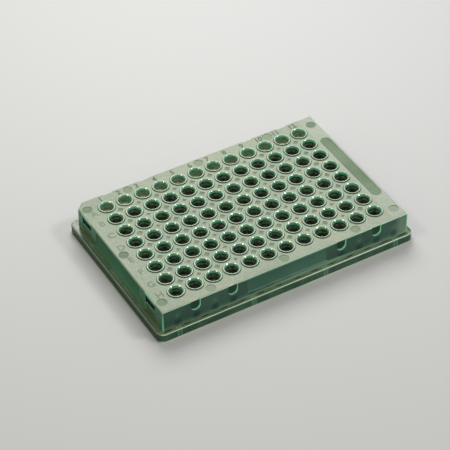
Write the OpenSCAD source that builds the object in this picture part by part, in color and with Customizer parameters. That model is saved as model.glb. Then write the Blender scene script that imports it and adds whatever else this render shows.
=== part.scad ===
// Full-skirted 96-well plate for small reaction volumes, moulded in one piece.
// The origin is the centre of the footprint, on the surface that the plate stands on.
// +X runs from column 1 to column 12, +Y towards row A, +Z up. Well A1 is at -X, +Y.

/* [Base] */
// Length of the footprint along X
base_w = 127.76; // [122:0.01:160]
// Width of the footprint along Y
base_d = 85.48; // [81:0.01:110]
// Corner radius of the footprint
base_r = 3.5; // [2.8:0.1:5]
// Height of the flange from the table to its ledge
flange_h = 4.4; // [3.4:0.1:6]
// Thickness of the flange wall
flange_t = 1.2; // [1:0.05:1.6]
// Thickness of the ledge between the flange and the skirt
ledge_t = 1.1; // [0.8:0.05:1.6]
// Rounding of the ledge's outer edge
ledge_r = 0.4; // [0.1:0.05:0.5]
// How far the bead along the foot of the flange stands out
bead_out = 0.3; // [0.1:0.05:0.4]
// Height of that bead
bead_h = 0.5; // [0.3:0.05:1]

/* [Skirt] */
// Width of the ledge on the short sides
ledge_x = 2.7; // [2:0.1:4]
// Width of the ledge on the long sides
ledge_y = 2.2; // [1.8:0.1:4]
// Thickness of the skirt wall
skirt_t = 1.1; // [1:0.05:1.3]
// Radius of the skirt's upright corners
skirt_r = 0.7; // [0.3:0.1:1.5]
// Draft: how much further out the skirt stands at its foot than at the deck
draft = 0.2; // [0:0.05:0.3]
// Rounding of the deck's edge
edge_r = 0.65; // [0.2:0.05:0.7]
// Length of the corner cut beside well A1, along each side
key_cut = 3.6; // [2:0.1:6]

/* [Deck] */
// Height of the plate from the table to the rims of the wells
plate_h = 15.4; // [13:0.1:20]
// Thickness of the deck
deck_t = 1.1; // [0.8:0.05:1.6]
// Depth of the smooth marks in the deck
mark_depth = 0.2; // [0.1:0.05:0.4]
// Radius of the round marks along the deck's margin
disc_r = 2.25; // [1.5:0.05:2.5]
// Inset of the round marks from the short sides
margin_x = 3.5; // [3.3:0.1:5]
// Inset of the round marks from the long sides
margin_y = 3.3; // [3.2:0.1:4]
// Distance of the corner marks from the long sides
corner_mark_y = 6.2; // [5:0.1:8]
// Length of the slot recess beside column 12
slot_l = 46.5; // [20:0.5:50]
// Width of that slot
slot_w = 5.1; // [3:0.1:5.6]
// Inset of the slot's middle from the short side
slot_inset = 3.9; // [3.6:0.1:4.2]
// Half the width of the diamond marks between wells
diamond_r = 1.45; // [0.8:0.05:1.6]
// Half the width of the star marks between wells
star_r = 1.3; // [0.8:0.05:1.6]

/* [Wells] */
// Number of rows, A to H
rows = 8; // [2:1:8]
// Number of columns
columns = 12; // [6:1:12]
// Distance between neighbouring wells
pitch = 9; // [8.5:0.1:9.2]
// Radius of a well at its rim
mouth_r = 3.15; // [3:0.05:3.4]
// Depth of the funnel below the rim
mouth_depth = 1.2; // [0.8:0.05:1.5]
// Radius of the straight part of the tube, under the funnel
throat_r = 2.8; // [2.4:0.05:2.9]
// Height of the straight part of the tube
collar_h = 1.5; // [1:0.1:3]
// Radius of the blunt end of the tube's taper, inside
tip_r = 1.1; // [0.8:0.05:1.4]
// Wall of the tube
tube_t = 0.4; // [0.3:0.05:0.5]
// Outer radius of the raised rim
rim_r = 3.85; // [3.7:0.05:4]
// Height of the rim above the deck
rim_h = 0.5; // [0.3:0.05:0.65]
// Height of the tips above the table
tip_clearance = 0.9; // [0.5:0.1:2]

/* [Openings] */
// Width of the round-ended notches in the long sides
notch_w = 4.6; // [3:0.1:6]
// Depth of those notches below the deck
notch_h = 5.4; // [3.5:0.1:6]
// Width of the windows in the short sides
window_w = 8.8; // [6:0.1:10]
// Distance of each window's middle from the plate's middle
window_y = 29.2; // [27:0.1:32]
// Depth of a window's sill below the deck
window_h = 5.9; // [4.5:0.1:7]
// How far the wall below a window is set back
pocket_depth = 0.6; // [0.3:0.05:0.8]

/* [Label panels and ribs] */
// Width of the recessed label panel in the middle of each side
label_w = 40; // [20:1:44]
// Depth of the panels
label_depth = 0.3; // [0.1:0.05:0.4]
// Height of the skirt left above a panel
label_top = 0.9; // [0.7:0.1:2]
// Height of the skirt left between a panel and the ledge
label_foot = 2.7; // [1:0.1:4]
// Thickness of the ribs inside the flange
rib_t = 1.2; // [0.8:0.1:2]

/* [Hidden] */

$fn = 48;
seat = 0.1;      // overlap where two parts of the moulding merge
reach = 2;       // how far a cutting shape runs past the wall it cuts
rim_edge = 0.15; // bevel on the outer edge of a rim
spare = 0.03;    // how far the block that rounds the upright corners stands clear of the sides

deck_z = plate_h - rim_h;
skirt_w = base_w - 2 * ledge_x;
skirt_d = base_d - 2 * ledge_y;
ledge_under = flange_h - ledge_t;
deck_inset = skirt_t - seat;
// The share of a radius that a 45-degree bevel takes, and of an inset that it takes off the key.
bevel = 2 - sqrt(2);
// Distance of the key's face from the plate's middle.
key_reach = (skirt_w / 2 + skirt_d / 2 - key_cut) / sqrt(2);

// Notches stand between wells: 3 and 5 half-pitches either side of the middle.
notch_places = [for (n = [-5, -3, 3, 5]) n * pitch];
// Ribs in the flange: 2 and 6 pitches either side of the middle.
rib_places = [for (n = [-6, -2, 2, 6]) n * pitch];
well_x = [for (c = [0 : columns - 1]) (c - (columns - 1) / 2) * pitch];
well_y = [for (r = [0 : rows - 1]) ((rows - 1) / 2 - r) * pitch];

// Outer radius of the straight tube, and of its hole in the deck, which also clears the funnel.
collar_r = throat_r + tube_t;
funnel_at_deck = throat_r + (mouth_r - throat_r) * (mouth_depth - rim_h) / mouth_depth;
hole_r = max(collar_r, funnel_at_deck + seat) - seat / 2;

// Sweeps a profile round a rectangle. In the profile, x = r lies on the rectangle and y is height.
module swept(w, d, r) {
    for (n = [0 : 3]) {
        sx = n == 0 || n == 3 ? 1 : -1;
        sy = n < 2 ? 1 : -1;
        translate([sx * (w / 2 - r), sy * (d / 2 - r)])
            rotate([0, 0, 90 * n]) {
                rotate_extrude(angle = 90)
                    children();
                rotate([90, 0, 0])
                    linear_extrude((n % 2 == 0 ? d : w) - 2 * r)
                        children();
            }
    }
}

// The outward side of the base: a bead along its foot, a plain face and a rounded ledge.
module flange_profile() {
    face = base_r - bead_out;
    inner = base_r - flange_t;
    polygon([
        [inner, 0], [base_r, 0], [base_r, bead_h], [face, bead_h],
        [face, flange_h - ledge_r], [face - ledge_r, flange_h], [inner, flange_h]]);
    translate([face - ledge_r, flange_h - ledge_r])
        quarter_disc(ledge_r);
}

// Half of the skirt's section: upright inside the ledge, then drafted and rounded into the deck.
module skirt_half(half, round) {
    top = half - draft;
    polygon([
        [0, 0], [half, 0], [half, flange_h - ledge_t / 2],
        [top, deck_z - round], [top - round, deck_z], [0, deck_z]]);
    translate([top - round, deck_z - round])
        quarter_disc(round);
}

// A long block with that section, turned to face a side of the plate.
module skirt_block(half, other_half, round, facing) {
    rotate([0, 0, facing])
        rotate([90, 0, 0])
            linear_extrude(2 * base_w, center = true) {
                skirt_half(half, round);
                mirror([1, 0])
                    skirt_half(other_half, round);
            }
}

module quarter_disc(r) {
    intersection() {
        circle(r);
        square(r);
    }
}

module flange() {
    swept(base_w, base_d, base_r) flange_profile();
    ledge_inset = bead_out + ledge_r + seat;
    translate([0, 0, ledge_under])
        linear_extrude(ledge_t)
            difference() {
                rounded_box(base_w - 2 * ledge_inset, base_d - 2 * ledge_inset, base_r - ledge_inset);
                inset_outline(skirt_t / 2);
            }
}

// The outline of the skirt, moved inward, with the A1 corner cut.
module inset_outline(by) {
    x = skirt_w / 2 - by;
    y = skirt_d / 2 - by;
    key = key_cut - bevel * by;
    polygon([[-x, -y], [x, -y], [x, y], [key - x, y], [-x, y - key]]);
}

module rounded_box(w, d, r) {
    square([w, d - 2 * r], center = true);
    square([w - 2 * r, d], center = true);
    for (sx = [-1, 1], sy = [-1, 1])
        translate([sx * (w / 2 - r), sy * (d / 2 - r)])
            circle(r);
}

// Ribs that tie the flange to the foot of the skirt along the long sides.
module flange_ribs() {
    inner = skirt_d / 2 - skirt_t + seat;
    outer = base_d / 2 - flange_t + seat;
    for (x = rib_places, side = [-1, 1])
        translate([x - rib_t / 2, side > 0 ? inner : -outer, bead_h])
            cube([rib_t, outer - inner, ledge_under + seat - bead_h]);
}

// The skirt as a solid block: its four sides, the key's face and the rounded upright corners.
module skirt_solid() {
    corner = skirt_r + spare / (1 - sqrt(0.5));
    intersection() {
        skirt_block(skirt_w / 2, skirt_w / 2, edge_r, 0);
        skirt_block(skirt_d / 2, skirt_d / 2, edge_r, 90);
        skirt_block(key_reach, base_w, edge_r - spare, 135);
        translate([0, 0, ledge_under])
            linear_extrude(plate_h)
                rounded_box(skirt_w + 2 * spare, skirt_d + 2 * spare, corner);
    }
}

module skirt() {
    difference() {
        union() {
            difference() {
                skirt_solid();
                linear_extrude(plate_h)
                    inset_outline(skirt_t);
            }
            for (turn = [0, 180], y = [-window_y, window_y])
                rotate([0, 0, turn])
                    pocket_back(y);
        }
        for (x = notch_places, side = [-1, 1])
            notch(x, side);
        for (turn = [0, 180], y = [-window_y, window_y])
            rotate([0, 0, turn])
                window(y);
        label_panels();
    }
}

// A round-ended slot that opens at the deck.
module notch(x, side) {
    depth = skirt_t + reach;
    translate([x, side * (skirt_d / 2 - skirt_t + depth / 2), deck_z - notch_h + notch_w / 2])
        rotate([90, 0, 0])
            linear_extrude(depth, center = true) {
                circle(notch_w / 2);
                translate([-notch_w / 2, 0])
                    square([notch_w, notch_h - notch_w / 2 + reach]);
            }
}

// A window under the deck's edge, over a shallow set-back that runs down to the ledge.
module window(y) {
    head = deck_z - deck_t - seat;
    sill = deck_z - window_h;
    back = -skirt_t - pocket_depth;
    translate([skirt_w / 2, y, 0])
        rotate([90, 0, 0])
            linear_extrude(window_w, center = true)
                polygon([
                    [reach, flange_h],
                    [reach, head],
                    [back, head],
                    [back, sill],
                    [-pocket_depth, sill],
                    [-pocket_depth, flange_h]]);
}

// Inside, the wall follows the set-back, so that it keeps its thickness.
module pocket_back(y) {
    height = deck_z - window_h - ledge_under;
    translate([skirt_w / 2 - skirt_t - (pocket_depth - seat) / 2, y, ledge_under + height / 2])
        cube([pocket_depth + seat, window_w + 2 * skirt_t, height], center = true);
}

// A shallow panel for a label in the middle of each side. Its foot slopes out to the skirt's face.
module label_panels() {
    for (side = [0, 180]) {
        rotate([0, 0, side])
            translate([0, skirt_d / 2 - draft - label_depth, 0])
                label_cut();
        rotate([0, 0, side + 90])
            translate([0, skirt_w / 2 - draft - label_depth, 0])
                label_cut();
    }
}

module label_cut() {
    low = flange_h + label_foot;
    high = deck_z - label_top;
    translate([-label_w / 2, 0, 0])
        rotate([90, 0, 90])
            linear_extrude(label_w)
                polygon([[0, low], [reach, low - reach], [reach, high], [0, high]]);
}

module deck() {
    translate([0, 0, deck_z - deck_t])
        linear_extrude(deck_t)
            difference() {
                inset_outline(deck_inset);
                for (x = well_x, y = well_y)
                    translate([x, y])
                        circle(hole_r);
                for (x = notch_places, side = [-1, 1])
                    translate([x, side * skirt_d / 2])
                        square([notch_w, 2 * skirt_t], center = true);
            }
}

// Smooth shallow marks in the top of the deck.
module marks() {
    translate([0, 0, deck_z - mark_depth])
        linear_extrude(mark_depth + seat) {
            margin_marks();
            between_marks();
        }
}

// Round marks round the margin, and the long slot beside column 12.
module margin_marks() {
    mark_x = skirt_w / 2 - margin_x;
    mark_y = skirt_d / 2 - margin_y;
    for (sx = [-1, 1], sy = [-1, 1])
        translate([sx * mark_x, sy * (skirt_d / 2 - corner_mark_y)])
            circle(disc_r);
    translate([-mark_x, 0])
        circle(disc_r);
    for (x = [-4 * pitch, 0, 4 * pitch], sy = [-1, 1])
        translate([x, sy * mark_y])
            circle(disc_r);
    translate([skirt_w / 2 - slot_inset, 0]) {
        square([slot_w, slot_l - slot_w], center = true);
        for (end = [-1, 1])
            translate([0, end * (slot_l - slot_w) / 2])
                circle(slot_w / 2);
    }
}

// A mark between every four wells. Every second column of marks out from the middle is a star.
module between_marks() {
    middle = (columns - 2) / 2;
    for (c = [0 : columns - 2], r = [0 : rows - 2])
        translate([well_x[c] + pitch / 2, well_y[r] - pitch / 2])
            if (abs(c - middle) == 2 || abs(c - middle) == 4)
                star();
            else
                circle(diamond_r, $fn = 4);
}

module star() {
    waist = 0.42 * star_r;
    polygon([for (i = [0 : 7]) (i % 2 == 0 ? star_r : waist) * [cos(45 * i), sin(45 * i)]]);
}

// One tube: raised rim, funnel mouth, straight collar, long taper and a blunt tip.
module tube() {
    throat_z = plate_h - mouth_depth;
    shoulder_z = throat_z - collar_h;
    rim_root = deck_z - deck_t / 2;
    floor_z = tip_clearance + tube_t;
    tip_out = tip_r + tube_t;
    rotate_extrude()
        polygon([
            [0, tip_clearance],
            [tip_out - bevel * tip_out, tip_clearance],
            [tip_out, tip_clearance + bevel * tip_out],
            [collar_r, shoulder_z],
            [collar_r, rim_root],
            [rim_r, rim_root],
            [rim_r, plate_h - rim_edge],
            [rim_r - rim_edge, plate_h],
            [mouth_r, plate_h],
            [throat_r, throat_z],
            [throat_r, shoulder_z],
            [tip_r, floor_z + bevel * tip_r],
            [tip_r - bevel * tip_r, floor_z],
            [0, floor_z]]);
}

module well_plate() {
    color("#9fc4ae") {
        difference() {
            union() {
                skirt();
                deck();
            }
            marks();
        }
        flange();
        flange_ribs();
        for (x = well_x, y = well_y)
            translate([x, y, 0])
                tube();
    }
}

well_plate();
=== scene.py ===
import math

import bmesh
import bpy
from mathutils import Matrix, Vector


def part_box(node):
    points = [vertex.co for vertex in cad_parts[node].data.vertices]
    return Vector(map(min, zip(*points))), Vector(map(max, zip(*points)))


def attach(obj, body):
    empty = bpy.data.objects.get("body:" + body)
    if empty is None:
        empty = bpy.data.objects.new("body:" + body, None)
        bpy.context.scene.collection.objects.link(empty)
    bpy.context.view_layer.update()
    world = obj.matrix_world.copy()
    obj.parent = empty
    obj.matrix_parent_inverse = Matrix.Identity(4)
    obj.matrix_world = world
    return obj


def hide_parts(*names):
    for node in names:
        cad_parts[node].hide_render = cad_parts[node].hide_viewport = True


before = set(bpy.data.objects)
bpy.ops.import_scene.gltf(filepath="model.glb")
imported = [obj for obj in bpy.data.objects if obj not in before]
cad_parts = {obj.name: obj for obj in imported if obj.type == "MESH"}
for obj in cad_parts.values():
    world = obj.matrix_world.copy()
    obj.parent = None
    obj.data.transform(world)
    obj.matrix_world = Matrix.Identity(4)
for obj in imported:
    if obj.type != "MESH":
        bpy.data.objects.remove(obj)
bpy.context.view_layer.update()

# ---------------------------------------------------------------------------
# The moulding. A 96-well plate is one shot of green-tinted polypropylene: deck,
# tubes, skirt and flange together. The tool is sparked on the deck, which comes
# out frosted, and polished in the tubes and on the skirt, which come out glossy.
# ---------------------------------------------------------------------------
MM = 0.001
COLUMNS, ROWS = 12, 8
PITCH = 9 * MM
FIRST_X, FIRST_Y = -49.5 * MM, 31.5 * MM  # axis of well A1

CORNER = Vector(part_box("well_plate")[1])
RIM_Z = CORNER.z
DECK_Z = RIM_Z - 0.5 * MM
MARK_Z = DECK_Z - 0.2 * MM
EDGE_Z = DECK_Z - 0.7 * MM         # the rounding of the deck's edges lies above this
FUNNEL_Z = RIM_Z - 1.2 * MM        # foot of the funnels
TIP_Z = 7.4 * MM                   # below this the tubes are painted with the light that they take up from the bench
FLOOR_Z = 3 * MM                   # the wells' floors lie below this
LEDGE_Z = 4.4 * MM
BEAD_Z = 0.51 * MM                 # the bead along the foot lies below this
WELL_R = 3.9 * MM                  # what lies nearer to a well's axis belongs to the well

SKIRT_X, SKIRT_Y = CORNER.x - 2.7 * MM, CORNER.y - 2.2 * MM
END_WALL_X = SKIRT_X - 1.75 * MM   # inside of the end walls, behind their set-backs
SIDE_WALL_Y = SKIRT_Y - 1.15 * MM  # inside of the long walls
DECK_CUT_Z = DECK_Z - 1.2 * MM     # in a notch, the cut edge of the deck lies above this
DECK_CUT_Y = SKIRT_Y - 0.9 * MM    # and inside this
MARGIN_X, MARGIN_Y = 54 * MM, 35 * MM  # past these lie the marks in the plate's margins
PANEL_HALF = 20 * MM
PANEL_X = SKIRT_X - 0.6 * MM       # the end panels lie outside this
PAST_PANEL = 20.1 * MM             # clear of the steps at the panels' ends
WINDOW_Y = 29.2 * MM
REFLECTION_X, REFLECTION_Y = 57.4 * MM, -34.8 * MM  # the painted reflection in the mark beside well H12

NEAR = 0.01 * MM                   # how closely a face's height is matched
WELD = 0.001 * MM
LIP = 0.26 * MM
CREASE = math.radians(28)
# A wall leans if more than SLOPE of its direction does. A face looks some way if more than
# TOWARDS, MOSTLY or SQUARELY of its direction lies that way.
SLOPE, TOWARDS, MOSTLY, SQUARELY = 0.05, 0.3, 0.5, 0.9


def linear(hex_code):
    """A display colour such as 'a9b59d' as the linear values that a shader takes."""
    parts = [int(hex_code[i:i + 2], 16) / 255 for i in (0, 2, 4)]
    return [c / 12.92 if c <= 0.04045 else ((c + 0.055) / 1.055) ** 2.4 for c in parts] + [1]


def noise(mat, scale, detail):
    """A noise fixed to the plate."""
    place = mat.node_tree.nodes.new("ShaderNodeTexCoord")
    texture = mat.node_tree.nodes.new("ShaderNodeTexNoise")
    texture.inputs["Scale"].default_value = scale
    texture.inputs["Detail"].default_value = detail
    mat.node_tree.links.new(place.outputs["Object"], texture.inputs["Vector"])
    return texture.outputs["Fac"]


def plastic(name, tone, deep, rough, cloud=60, speckle=0.0, grain=0.0, coat=0.0, shine=0.5,
            glow=0.0):
    """Tinted polypropylene that drifts between two tones. cloud is how closely they follow each
    other, speckle is how far a fine sparked texture breaks them up, grain is the depth of that
    texture in mm, and shine is how strongly a bare surface reflects. glow is painted light: an
    emission in the surface's own colour that stands for the light that the clear plastic carries
    to where no lamp reaches."""
    mat = bpy.data.materials.new(name)
    mat.use_nodes = True
    nodes, links = mat.node_tree.nodes, mat.node_tree.links
    shader = nodes["Principled BSDF"]
    shader.inputs["Roughness"].default_value = rough
    shader.inputs["IOR"].default_value = 1.49
    shader.inputs["Specular IOR Level"].default_value = shine
    shader.inputs["Coat Weight"].default_value = coat
    shader.inputs["Coat Roughness"].default_value = 0.12
    shader.inputs["Emission Strength"].default_value = glow
    pits = noise(mat, scale=1300, detail=2)
    blend = nodes.new("ShaderNodeMix")
    blend.inputs["Factor"].default_value = speckle
    links.new(noise(mat, scale=cloud, detail=3), blend.inputs["A"])
    links.new(pits, blend.inputs["B"])
    tones = nodes.new("ShaderNodeValToRGB")
    for element, position, colour in zip(tones.color_ramp.elements, (0.4, 0.6), (deep, tone)):
        element.position = position
        element.color = linear(colour)
    links.new(blend.outputs["Result"], tones.inputs["Fac"])
    links.new(tones.outputs["Color"], shader.inputs["Base Color"])
    if glow:
        links.new(tones.outputs["Color"], shader.inputs["Emission Color"])
    if grain:
        bump = nodes.new("ShaderNodeBump")
        bump.inputs["Strength"].default_value = 0.5
        bump.inputs["Distance"].default_value = grain * MM
        links.new(pits, bump.inputs["Height"])
        links.new(bump.outputs["Normal"], shader.inputs["Normal"])
    return mat


def along(mat, axis):
    """A place's X, Y or Z on the plate."""
    place = mat.node_tree.nodes.new("ShaderNodeTexCoord")
    split = mat.node_tree.nodes.new("ShaderNodeSeparateXYZ")
    mat.node_tree.links.new(place.outputs["Object"], split.inputs["Vector"])
    return split.outputs[axis]


def reckon(mat, operation, *terms):
    """One step of arithmetic on sockets and plain numbers."""
    step = mat.node_tree.nodes.new("ShaderNodeMath")
    step.operation = operation
    for place, term in enumerate(terms):
        if isinstance(term, bpy.types.NodeSocket):
            mat.node_tree.links.new(term, step.inputs[place])
        else:
            step.inputs[place].default_value = term
    return step.outputs["Value"]


def from_middle(mat, axis):
    """How far a place is from the plate's middle, to either side."""
    return reckon(mat, "ABSOLUTE", along(mat, axis))


def from_multiple(mat, socket, period):
    """How far a place is past the nearest multiple of a period."""
    return reckon(mat, "WRAP", socket, period / 2, -period / 2)


def distance(mat, across, up):
    """The length of the step that two sockets give."""
    join = mat.node_tree.nodes.new("ShaderNodeCombineXYZ")
    size = mat.node_tree.nodes.new("ShaderNodeVectorMath")
    size.operation = "LENGTH"
    mat.node_tree.links.new(across, join.inputs["X"])
    mat.node_tree.links.new(up, join.inputs["Y"])
    mat.node_tree.links.new(join.outputs["Vector"], size.inputs[0])
    return size.outputs["Value"]


def off_axis(mat):
    """The distance to the nearest well's axis."""
    steps = []
    for axis, furthest in (("X", -FIRST_X), ("Y", FIRST_Y)):
        outer = reckon(mat, "MAXIMUM", from_middle(mat, axis), furthest)
        shifted = reckon(mat, "ADD", along(mat, axis), PITCH / 2)
        within = reckon(mat, "ABSOLUTE", from_multiple(mat, shifted, PITCH))
        steps.append(reckon(mat, "MAXIMUM", reckon(mat, "SUBTRACT", outer, furthest), within))
    return distance(mat, *steps)


def past_window(mat):
    """How far a place on an end is past the middle of its window, towards the corner."""
    return reckon(mat, "SUBTRACT", from_middle(mat, "Y"), WINDOW_Y)


def layer(mat, socket, stops, blend="MULTIPLY"):
    """Lays a colour over what a plastic has. stops are (mm on the socket, colour), lowest first."""
    nodes, links = mat.node_tree.nodes, mat.node_tree.links
    first, last = stops[0][0], stops[-1][0]
    span = nodes.new("ShaderNodeMapRange")
    span.inputs["From Min"].default_value = first * MM
    span.inputs["From Max"].default_value = last * MM
    links.new(socket, span.inputs["Value"])
    ramp = nodes.new("ShaderNodeValToRGB")
    links.new(span.outputs["Result"], ramp.inputs["Fac"])
    while len(ramp.color_ramp.elements) < len(stops):
        ramp.color_ramp.elements.new(0.5)
    for element, (reach, colour) in zip(ramp.color_ramp.elements, stops):
        element.position = (reach - first) / (last - first)
        element.color = linear(colour)
    mix = nodes.new("ShaderNodeMix")
    mix.data_type = "RGBA"
    mix.blend_type = blend
    mix.inputs["Factor"].default_value = 1
    shader = nodes["Principled BSDF"]
    links.new(shader.inputs["Base Color"].links[0].from_socket, mix.inputs["A"])
    links.new(ramp.outputs["Color"], mix.inputs["B"])
    for target in (shader.inputs["Base Color"], shader.inputs["Emission Color"]):
        if target.is_linked:
            links.new(mix.outputs["Result"], target)


# The frosted deck carries a painted shadow round each rim, and painted light makes it paler past
# column 12.
frosted = plastic("frosted deck", "adb39e", "97a590", 0.6, cloud=40, speckle=0.6, grain=0.05,
                  shine=0.35)
layer(frosted, off_axis(frosted), [(3.85, "8fa596"), (4.0, "b4c2b6"), (4.2, "ffffff")])
layer(frosted, along(frosted, "X"), [(53.6, "000000"), (54.2, "38383e")], "ADD")

# The smooth marks let the darker inside show. The end marks are a little paler towards the front,
# and the one beside well H12 carries a painted reflection.
smooth_mark = plastic("smooth marks", "7f9278", "6c8268", 0.55, cloud=700, speckle=0.4, shine=0.3)
edge_mark = plastic("edge marks", "8d9c82", "7e8f75", 0.55, cloud=90, speckle=0.3, shine=0.3)
end_mark = plastic("end marks", "75896d", "687c62", 0.5, cloud=120, shine=0.3)
layer(end_mark, along(end_mark, "Y"), [(-32, "101210"), (-31, "000000")], "ADD")
layer(end_mark, distance(end_mark, reckon(end_mark, "SUBTRACT", along(end_mark, "X"), REFLECTION_X),
                         reckon(end_mark, "SUBTRACT", along(end_mark, "Y"), REFLECTION_Y)),
      [(2.4, "6c6a64"), (2.6, "000000")], "ADD")

# Rims and wells. The rims' outer sides carry painted shade. The funnels, bores and tips glow with
# painted light, and the bores carry painted bands of highlight and shade. Row A, with no tubes
# behind it, has a bright band of painted light.
rim_face = plastic("rim face", "ffffff", "e4ece4", 0.35, cloud=900)
layer(rim_face, off_axis(rim_face), [(3.15, "aacbac"), (3.6, "c9d9bd"), (3.85, "d6d8c0")])
rim_lip = plastic("rim lip", "8fbd9d", "7fb090", 0.13, cloud=300, coat=1, shine=0.7)
rim_side = plastic("rim side", "4a7f63", "3f7157", 0.3)
funnel = plastic("funnel", "ffffff", "d5e6da", 0.16, cloud=500, coat=0.6, glow=0.15)
layer(funnel, along(funnel, "Z"), [(14.2, "528f70"), (14.6, "6eae8a"), (15.3, "72aa8a")])
well = plastic("well bore", "ffffff", "8f8f82", 0.2, cloud=700, coat=0.6, glow=0.14)
layer(well, along(well, "Z"), [(7.4, "4c5e4a"), (9.6, "4d5d48"), (10.7, "6c765f"),
                               (11.3, "324030"), (12.1, "3c4a38"), (12.7, "76806a"),
                               (13.5, "5a6852"), (14, "2c4a3a"), (14.2, "3d7c5c")])
backlit_well = plastic("row A bore", "ffffff", "c4ccc0", 0.2, cloud=500, coat=0.6, glow=0.2)
layer(backlit_well, along(backlit_well, "Z"), [(7.4, "4c5c48"), (9.4, "56664e"), (9.8, "f0ebc4"),
                                         (11.0, "ece6bc"), (11.5, "687b65"), (13.6, "5d765f"),
                                         (14.2, "487059")])
tip = plastic("well tip", "6f9c80", "5d8a70", 0.25, cloud=700, coat=0.5, glow=0.12)

# The deck's edges carry painted highlights, for the light that the clear plastic pipes out of
# them: bright along the top of each rounding and dark below it, and brighter still along the
# column 12 end and over each window. The upright corners and the cut edge of the deck glow with
# painted light.
long_edge = plastic("long deck edge", "ffffff", "e8f0e8", 0.25, coat=0.3)
layer(long_edge, along(long_edge, "Z"), [(14.25, "2f5546"), (14.4, "3c6552"), (14.5, "a5dcbd"),
                                         (14.9, "cfe6c8")])
end_edge = plastic("end deck edge", "ffffff", "e8f0e8", 0.25, coat=0.3)
layer(end_edge, along(end_edge, "Z"), [(14.25, "33593f"), (14.55, "46775a"), (14.8, "9dc4a4")])
layer(end_edge, along(end_edge, "X"), [(60, "000000"), (60.3, "6a7a6c")], "ADD")
layer(end_edge, reckon(end_edge, "ABSOLUTE", past_window(end_edge)),
      [(4.2, "4f9a74"), (4.8, "000000")], "ADD")
lit_edge = plastic("lit edges", "8ed6b2", "72c29a", 0.25, coat=0.3, glow=0.08)
cut_edge = plastic("cut edge of the deck", "cfd8c2", "becab2", 0.35, cloud=300, coat=0.3,
                   glow=0.25)

# Long walls. Between the tubes behind they carry a row of painted pale spots over a row of
# painted dark ones, for the light and shade that come between the tubes. Painted light makes
# them paler towards their column 12 end, and their upright edges carry a painted highlight. Up
# their height they are paler at the foot and painted darker in shade under the deck.
long_wall = plastic("long wall", "ffffff", "dfe9e2", 0.25, cloud=90, shine=0.25)
layer(long_wall, along(long_wall, "Z"), [(4.4, "7a8468"), (4.8, "8f9c80"), (5.5, "759680"),
                                         (6.4, "4c7260"), (8, "3e6351"), (13.6, "3e6553"),
                                         (14.2, "2f5546")])
for height, stops, blend in (
        (10.6, [(0.2, "2f4f40"), (1.1, "1a3329"), (1.9, "000000")], "ADD"),
        (6.8, [(0.3, "9aaec4"), (1.4, "c0ccd8"), (2.4, "ffffff")], "MULTIPLY")):
    layer(long_wall, distance(long_wall, from_multiple(long_wall, along(long_wall, "X"), PITCH),
                              reckon(long_wall, "SUBTRACT", along(long_wall, "Z"), height * MM)),
          stops, blend)
layer(long_wall, along(long_wall, "X"), [(50, "000000"), (54.5, "222e26"), (57.5, "66745f")],
      "ADD")
layer(long_wall, from_middle(long_wall, "X"), [(60.35, "000000"), (60.5, "4fb088")], "ADD")
# The long label panels are painted paler at the foot and along the top with painted light, and
# darker between.
panel = plastic("long label panel", "ffffff", "e4ece6", 0.4, cloud=50, shine=0.3)
layer(panel, along(panel, "Z"), [(4.4, "9cbd9f"), (5.6, "8db195"), (6.3, "86ab90"),
                                 (7.3, "527f6a"), (13.6, "427059"), (14.1, "7aa88f")])

# End walls, with a painted highlight in a strip over each window. Up their height they are paler
# and browner at the foot and painted darker in shade under the deck.
end_wall = plastic("end wall", "ffffff", "dfe9e0", 0.25, cloud=90, shine=0.15)
layer(end_wall, along(end_wall, "Z"), [(4.4, "7f8862"), (5.3, "6b7654"), (6.1, "527458"),
                                       (8, "4a7a58"), (13.2, "47785a"), (14.2, "365c46")])
layer(end_wall, distance(end_wall, reckon(end_wall, "MULTIPLY", past_window(end_wall), 0.15),
                         reckon(end_wall, "SUBTRACT", along(end_wall, "Z"), 14.4 * MM)),
      [(0.55, "5c9c78"), (0.75, "000000")], "ADD")
# The end label panels are paler at the foot and carry a painted shadow under the deck's overhang.
end_panel = plastic("end label panel", "ffffff", "e4ece2", 0.4, cloud=50, shine=0.15)
layer(end_panel, along(end_panel, "Z"), [(4.4, "6a9b7a"), (7, "4c8360"), (11, "336c4a"),
                                         (12.8, "275c3d"), (13.6, "3e7c56")])

# Cut faces of the windows and notches, with painted shade inside and a painted highlight at the
# outer edge. The notches also glow with painted light, their sides the more.
sill = plastic("window sill", "ffffff", "dfe6df", 0.4, shine=0.2)
cheek = plastic("window cheek", "ffffff", "dfe6df", 0.4, shine=0.2)
for mat, reach in ((sill, 60.1), (cheek, 60.5)):
    layer(mat, from_middle(mat, "X"), [(reach - 0.6, "3d3129"), (reach, "3d3129"),
                                       (reach + 0.1, "8ed6b2"), (reach + 0.5, "8ed6b2")])
notch = plastic("notch", "ffffff", "e4ece6", 0.3, coat=0.3, glow=0.1)
notch_side = plastic("notch side", "ffffff", "e4ece6", 0.3, coat=0.3, glow=0.25)
for mat in (notch, notch_side):
    layer(mat, from_middle(mat, "Y"), [(38.5, "4a4a3c"), (39.3, "55604c"), (39.6, "8ee0ba"),
                                       (40.4, "a0ecc8")])

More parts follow.
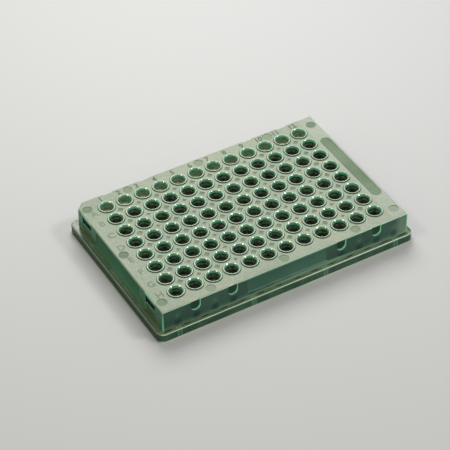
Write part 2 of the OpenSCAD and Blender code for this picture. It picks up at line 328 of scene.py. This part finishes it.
# Ledge, with a painted soft shadow of each tube at its root, and flange. The ribs show through
# both. The ledge's outer edge and the bead along the foot are painted bright and glow with
# painted light. Ledge, edge, flange and bead are darker on the plate's ends.
ledge = plastic("ledge", "8a9a78", "6f8565", 0.25, cloud=150, coat=0.3)
layer(ledge, from_middle(ledge, "X"), [(61.3, "dfe2d6"), (61.9, "ffffff"), (62.5, "cfd2c4"),
                                       (63.2, "8f9c86")])
foot = from_multiple(ledge, reckon(ledge, "ADD", along(ledge, "X"), 4.8 * MM), PITCH)
layer(ledge, distance(ledge, reckon(ledge, "MULTIPLY", foot, 0.2),
                      reckon(ledge, "SUBTRACT", from_middle(ledge, "Y"), 40.8 * MM)),
      [(0.25, "7d7466"), (0.5, "ffffff")])
ledge_edge = plastic("ledge edge", "cdeccb", "bcdcbc", 0.25, coat=0.3, glow=0.05)
layer(ledge_edge, from_middle(ledge_edge, "X"), [(62, "ffffff"), (62.8, "8a9a8a")])
flange = plastic("flange face", "4e715a", "3d5d4a", 0.3, cloud=130, shine=0.2)
layer(flange, from_middle(flange, "X"), [(62.5, "ffffff"), (63.6, "9ca292")])
for mat in (ledge, flange):
    to_rib = from_multiple(mat, reckon(mat, "ADD", along(mat, "X"), 2 * PITCH), 4 * PITCH)
    layer(mat, reckon(mat, "ABSOLUTE", to_rib), [(0.6, "2c4a3c"), (0.8, "5f8a72"),
                                                 (1.0, "5f8a72"), (1.1, "000000")], "ADD")
bead = plastic("foot bead", "dbe6cb", "ccdabd", 0.3, coat=0.3, glow=0.05)
layer(bead, from_middle(bead, "X"), [(62.5, "ffffff"), (63.6, "94a08e")])

# The inner walls and the underside glow with painted light.
inner = plastic("inner wall", "6a8a74", "5f7d69", 0.3, glow=0.1)
under = plastic("underside", "76a28a", "68967c", 0.3, glow=0.08)

FINISHES = [frosted, rim_face, rim_lip, rim_side, funnel, smooth_mark, edge_mark, end_mark,
            long_edge, end_edge, lit_edge, ledge_edge, bead, long_wall, end_wall, panel, end_panel,
            sill, cheek, notch, notch_side, cut_edge, inner, ledge, flange, under, well, tip,
            backlit_well]


def well_finish(height, lean, flat, row):
    """The finish within a rim. lean is under 0 on a wall that faces the well's axis."""
    if flat and height > RIM_Z - NEAR:
        return rim_face
    if height > DECK_Z - NEAR and lean > SLOPE:
        return rim_side
    if lean < -SLOPE and height > FUNNEL_Z:
        return funnel
    if lean < -SLOPE or (flat and height < FLOOR_Z):
        if height < TIP_Z:
            return tip
        return well if row else backlit_well
    return frosted if flat else under


def foot_finish(at, facing, flat):
    """The finish on the ledge, the flange and the bead at its foot."""
    if flat and at.z > LEDGE_Z - NEAR:
        return ledge
    if facing.z > SLOPE and at.z > BEAD_Z:
        return ledge_edge
    if facing.z < -MOSTLY or facing.xy.dot(at.xy) < 0:
        return under
    return bead if at.z < BEAD_Z else flange


def wall_finish(at, facing, flat, out_x, out_y):
    """The finish on a wall of the skirt, or in one of its windows and notches. out_x and out_y
    are the shares of its direction that point out of the nearest end and long side."""
    in_end, in_side = abs(at.x) > END_WALL_X, abs(at.y) > SIDE_WALL_Y
    if out_x > TOWARDS and out_y > TOWARDS:
        return lit_edge
    if out_x > TOWARDS and in_end:
        on_panel = abs(at.x) > PANEL_X and abs(at.y) < PANEL_HALF
        return end_panel if on_panel else end_wall
    if out_y > TOWARDS and in_side:
        return panel if abs(at.x) < PANEL_HALF else long_wall
    in_notch = in_side and abs(at.x) > PAST_PANEL
    in_window = in_end and abs(at.y) > PAST_PANEL
    faces_in = (out_x < -SQUARELY and not in_notch) or (out_y < -SQUARELY and not in_window)
    if faces_in or facing.z < -MOSTLY:
        return inner
    if abs(at.x) > MARGIN_X:
        return sill if flat else cheek
    return notch_side if abs(facing.x) > MOSTLY else notch


def finish_at(at, facing):
    """Which finish goes on the face at a place, from its height, its side and its slope: the
    finish that the tool left, with any light and shade painted on it."""
    column = min(max(round((at.x - FIRST_X) / PITCH), 0), COLUMNS - 1)
    row = min(max(round((FIRST_Y - at.y) / PITCH), 0), ROWS - 1)
    out = Vector((at.x - FIRST_X - column * PITCH, at.y - FIRST_Y + row * PITCH))
    flat = facing.z > SQUARELY
    if out.length < WELL_R:
        return well_finish(at.z, facing.xy.dot(out) / max(out.length, 1e-9), flat, row)
    if flat and at.z > DECK_Z - NEAR:
        return frosted
    if flat and at.z > MARK_Z - NEAR:
        if abs(at.x) > MARGIN_X:
            return end_mark
        return edge_mark if abs(at.y) > MARGIN_Y else smooth_mark
    if abs(at.x) < END_WALL_X and abs(at.y) < SIDE_WALL_Y:
        return under
    out_x, out_y = facing.x * math.copysign(1, at.x), facing.y * math.copysign(1, at.y)
    if at.z > EDGE_Z and facing.z > SLOPE:
        return long_edge if out_y > out_x else end_edge
    if at.z < LEDGE_Z + NEAR:
        return foot_finish(at, facing, flat)
    if at.z > DECK_CUT_Z and out_y > SQUARELY and abs(at.y) < DECK_CUT_Y:
        return cut_edge
    return wall_finish(at, facing, flat, out_x, out_y)


# The CAD node's own surface, welded so that its curves shade smoothly, with a finish on each
# face and a small chamfer inside each rim
body = bmesh.new()
body.from_mesh(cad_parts["well_plate"].data)
bmesh.ops.remove_doubles(body, verts=body.verts, dist=WELD)
body.normal_update()
for face in body.faces:
    face.material_index = FINISHES.index(finish_at(face.calc_center_median(), face.normal))
lip_sides = [FINISHES.index(rim_face), FINISHES.index(funnel)]
mouths = [edge for edge in body.edges
          if sorted(face.material_index for face in edge.link_faces) == lip_sides]
lips = bmesh.ops.bevel(body, geom=mouths, offset=LIP, segments=1, profile=0.5, affect="EDGES",
                       material=-1)
for face in lips["faces"]:
    face.material_index = FINISHES.index(rim_lip)
body.normal_update()
for face in body.faces:
    face.smooth = True
for edge in body.edges:
    edge.smooth = len(edge.link_faces) == 2 and edge.calc_face_angle(0) < CREASE
mesh = bpy.data.meshes.new("plate_moulding")
body.to_mesh(mesh)
body.free()
for finish in FINISHES:
    mesh.materials.append(finish)
plate = bpy.data.objects.new("plate_moulding", mesh)
bpy.context.scene.collection.objects.link(plate)
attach(plate, "root")
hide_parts("well_plate")

# ---------------------------------------------------------------------------
# The well references. Column numbers and row letters are cut in the tool, so on
# the plate they stand up from the deck by just under a twentieth of a millimetre,
# in the same plastic. They are darker than the deck, the row letters only a little.
# ---------------------------------------------------------------------------
STROKE_Z = DECK_Z + 0.02 * MM    # middle of a stroke's height
STROKE_HALF_HEIGHT = 0.025 * MM
STROKE_SPREAD = 0.09 * MM
NUMBERS_Y, NUMBER_SIZE = 37.5 * MM, 4 * MM
LETTERS_X, LETTER_SIZE = -56.4 * MM, 4.8 * MM
LETTERS_REACH = 30 * MM          # A and H move in to this, clear of the corner marks

bold = plastic("column numbers", "5f7862", "546c58", 0.55, shine=0.3)
faint = plastic("row letters", "82957f", "768b75", 0.55, shine=0.3)


def label(text, x, y, size, finish):
    """One raised character, as a mesh that lies on the deck."""
    curve = bpy.data.curves.new("label_" + text, "FONT")
    curve.body = text
    curve.size = size
    curve.align_x = "CENTER"
    curve.align_y = "CENTER"
    curve.extrude = STROKE_HALF_HEIGHT
    curve.offset = STROKE_SPREAD
    curve.resolution_u = 3
    shape = bpy.data.objects.new("label_" + text, curve)
    bpy.context.scene.collection.objects.link(shape)
    bpy.context.view_layer.update()
    mesh = bpy.data.meshes.new_from_object(shape)
    bpy.data.objects.remove(shape)
    mesh.transform(Matrix.Translation((x, y, STROKE_Z)))
    mesh.materials.clear()
    mesh.materials.append(finish)
    piece = bpy.data.objects.new("label_" + text, mesh)
    bpy.context.scene.collection.objects.link(piece)
    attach(piece, "root")


for column in range(COLUMNS):
    label(str(column + 1), FIRST_X + column * PITCH, NUMBERS_Y, NUMBER_SIZE, bold)
for row in range(ROWS):
    y = max(min(FIRST_Y - row * PITCH, LETTERS_REACH), -LETTERS_REACH)
    label("ABCDEFGH"[row], LETTERS_X, y, LETTER_SIZE, faint)

# ---------------------------------------------------------------------------
# The bench: a broad, pale, matt worktop that the plate stands on. It is scenery,
# and isn't a piece of the plate.
# ---------------------------------------------------------------------------
bench_paint = bpy.data.materials.new("pale bench")
bench_paint.use_nodes = True
shader = bench_paint.node_tree.nodes["Principled BSDF"]
shader.inputs["Base Color"].default_value = (0.62, 0.62, 0.61, 1)
shader.inputs["Roughness"].default_value = 0.7

surface = bmesh.new()
bmesh.ops.create_grid(surface, x_segments=1, y_segments=1, size=4)
mesh = bpy.data.meshes.new("bench")
surface.to_mesh(mesh)
surface.free()
mesh.materials.append(bench_paint)
bench = bpy.data.objects.new("bench", mesh)
bpy.context.scene.collection.objects.link(bench)

# ---------------------------------------------------------------------------
# Light and camera: a softbox close behind and above, two further off at the
# right front and at the left, and a long lens that looks down on the plate from
# its row H, column 1 corner.
# ---------------------------------------------------------------------------


def softbox(name, direction, reach, size, watts, colour=(1, 1, 1)):
    """A square lamp that hangs at a distance in a direction and faces the plate."""
    lamp = bpy.data.lights.new(name, "AREA")
    lamp.energy = watts
    lamp.color = colour
    lamp.size = size
    box = bpy.data.objects.new(name, lamp)
    bpy.context.scene.collection.objects.link(box)
    towards = Vector(direction).normalized()
    box.location = towards * reach
    box.rotation_euler = towards.to_track_quat("Z", "Y").to_euler()


softbox("key", (0.32, 0.82, 1.2), reach=0.5, size=0.3, watts=1.65)
softbox("front", (0.5, -0.41, 0.76), reach=1.2, size=0.2, watts=3.1)
softbox("fill", (-0.56, 0.03, 0.83), reach=1.2, size=0.2, watts=1.8, colour=(1, 0.92, 0.66))

world = bpy.data.worlds.new("room")
bpy.context.scene.world = world
world.use_nodes = True
world.node_tree.nodes["Background"].inputs["Color"].default_value = (0.9, 0.92, 0.95, 1)
world.node_tree.nodes["Background"].inputs["Strength"].default_value = 0.32

lens = bpy.data.cameras.new("camera")
lens.lens = 158.77
lens.sensor_width = 36
lens.clip_start = 0.05
camera = bpy.data.objects.new("camera", lens)
camera.location = (-0.32458, -0.57165, 0.58470)
camera.rotation_euler = [math.radians(angle) for angle in (48.627, 1.090, -29.954)]
bpy.context.scene.collection.objects.link(camera)
bpy.context.scene.camera = camera
bpy.context.scene.view_settings.view_transform = "Standard"
